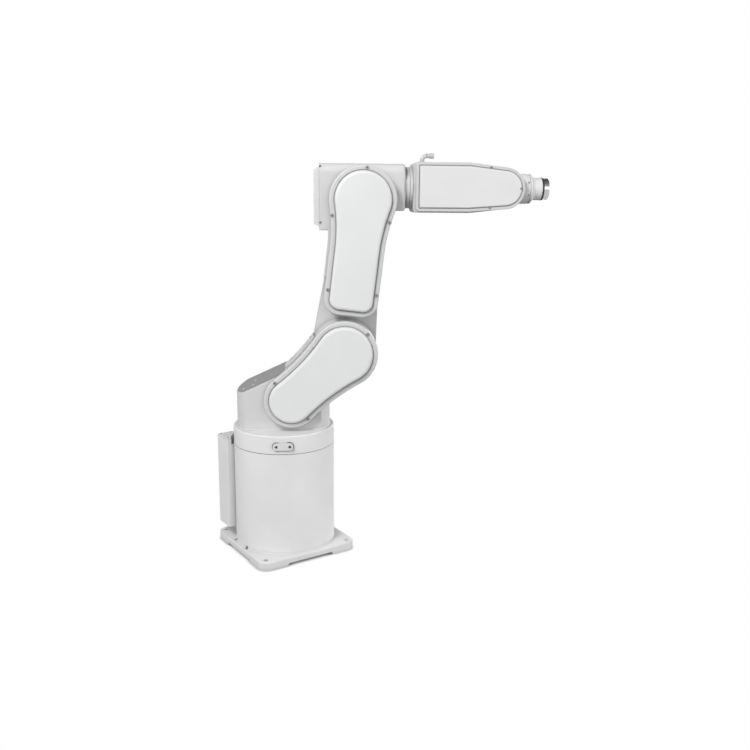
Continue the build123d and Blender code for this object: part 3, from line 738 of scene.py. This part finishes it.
# Floor: to the camera white, but for a thin shade close under edges, where the glow never falls below
# its darkest; to mirror rays an even pale sheet; and to all other light a matt grey.
floorLook = {
    "size": 60.0,
    "matt": 0.26,
    "mirrorStrength": 0.55,
    "shadeReach": 0.012,
    "shadeStart": 0.1,
    "shadeEnd": 0.75,
    "darkest": 0.08,
}
half = floorLook["size"] / 2
floorData = bpy.data.meshes.new("floor")
floorData.from_pydata([(-half, -half, 0), (half, -half, 0), (half, half, 0), (-half, half, 0)],
                      [], [(0, 1, 2, 3)])
floor = addObject("floor", floorData)
floorMaterial, tree, surface = blankMaterial("floorPale")
matt = addNode(tree, "ShaderNodeBsdfDiffuse", {"Color": grey(floorLook["matt"])})
mirrorGlow = addNode(tree, "ShaderNodeEmission", {"Strength": floorLook["mirrorStrength"]})
contact = addNode(tree, "ShaderNodeAmbientOcclusion", {"Distance": floorLook["shadeReach"]}, samples=8)
whiteGlow = addNode(tree, "ShaderNodeEmission", {"Strength": 1.0})
shade = remapped(tree, contact.outputs["AO"], low=floorLook["darkest"], high=1.0,
                 start=floorLook["shadeStart"], end=floorLook["shadeEnd"])
join(tree, shade, whiteGlow.inputs["Color"])
unseen = splitByRay(tree, "Is Glossy Ray", mirrorGlow.outputs["Emission"], matt.outputs["BSDF"])
join(tree, splitByRay(tree, "Is Camera Ray", whiteGlow.outputs["Emission"], unseen), surface)
floorData.materials.append(floorMaterial)

# Sky: white to the camera, and for light a studio that is bright at eye level, dimmer above and
# dimmer behind the arm. A stop is how far up a ray points, from level at 0 to straight up at 1,
# and its tone there.
skyLook = {
    "stops": ((0.0, 1.0), (0.36, 0.95), (0.52, 0.3), (1.0, 0.06)),
    "strength": 1.25,
    "behindStart": -0.1,
    "behindEnd": 0.6,
    "behindTone": 0.42,
}
world = bpy.data.worlds.new("studio")
world.use_nodes = True
scene.world = world
tree = world.node_tree
tree.nodes.clear()
skyWay = addNode(tree, "ShaderNodeTexCoord").outputs["Generated"]
split = addNode(tree, "ShaderNodeSeparateXYZ")
join(tree, skyWay, split.inputs["Vector"])
ramp = addNode(tree, "ShaderNodeValToRGB")
join(tree, split.outputs["Z"], ramp.inputs["Fac"])
elements = ramp.color_ramp.elements
elements[0].position = skyLook["stops"][0][0]
elements[1].position = skyLook["stops"][-1][0]
for position, level in skyLook["stops"][1:-1]:
    elements.new(position)
for element, (position, level) in zip(elements, skyLook["stops"]):
    element.color = grey(level)
behind = addNode(tree, "ShaderNodeVectorMath", {1: forwardLevel}, operation="DOT_PRODUCT")
join(tree, skyWay, behind.inputs[0])
dimmer = remapped(tree, behind.outputs["Value"], low=1.0, high=skyLook["behindTone"],
                  start=skyLook["behindStart"], end=skyLook["behindEnd"])
studio = addNode(tree, "ShaderNodeBackground", {"Strength": skyLook["strength"]})
join(tree, multiplied(tree, ramp.outputs["Color"], dimmer), studio.inputs["Color"])
white = addNode(tree, "ShaderNodeBackground", {"Color": grey(1.0)})
sky = splitByRay(tree, "Is Camera Ray", white.outputs["Background"], studio.outputs["Background"])
join(tree, sky, addNode(tree, "ShaderNodeOutputWorld").inputs["Surface"])

# Lights: a key high on the camera's left, soft fills in front and behind on its right, and a narrow
# one for the foot. Power is in watts and spread in degrees.
lights = {
    "keyLight": {"place": (-1.46, -0.78, 1.88), "target": (0.1, 0.0, 0.45), "size": 0.6, "power": 31.0},
    "fillLight": {"place": (1.5, -1.5, 0.7), "target": (0.3, -0.1, 0.6), "size": 0.8, "power": 9.0},
    "backLight": {"place": (2.0, 1.15, 0.7), "target": (0.15, 0.0, 0.45), "size": 0.8, "power": 11.0},
    "footLight": {"place": (1.3, -0.8, 0.3), "target": (0.0, 0.0, 0.1), "size": 0.25, "power": 0.09,
                  "spread": 24.0},
}
for name, light in lights.items():
    data = bpy.data.lights.new(name, "AREA")
    data.shape = "SQUARE"
    data.size = light["size"]
    data.energy = light["power"]
    if "spread" in light:
        data.spread = math.radians(light["spread"])
    aim = (Vector(light["target"]) - Vector(light["place"])).to_track_quat("-Z", "Y").to_matrix().to_4x4()
    addObject(name, data).matrix_world = Matrix.Translation(light["place"]) @ aim
scene.view_settings.view_transform = "Standard"
print("stage: camera and light")
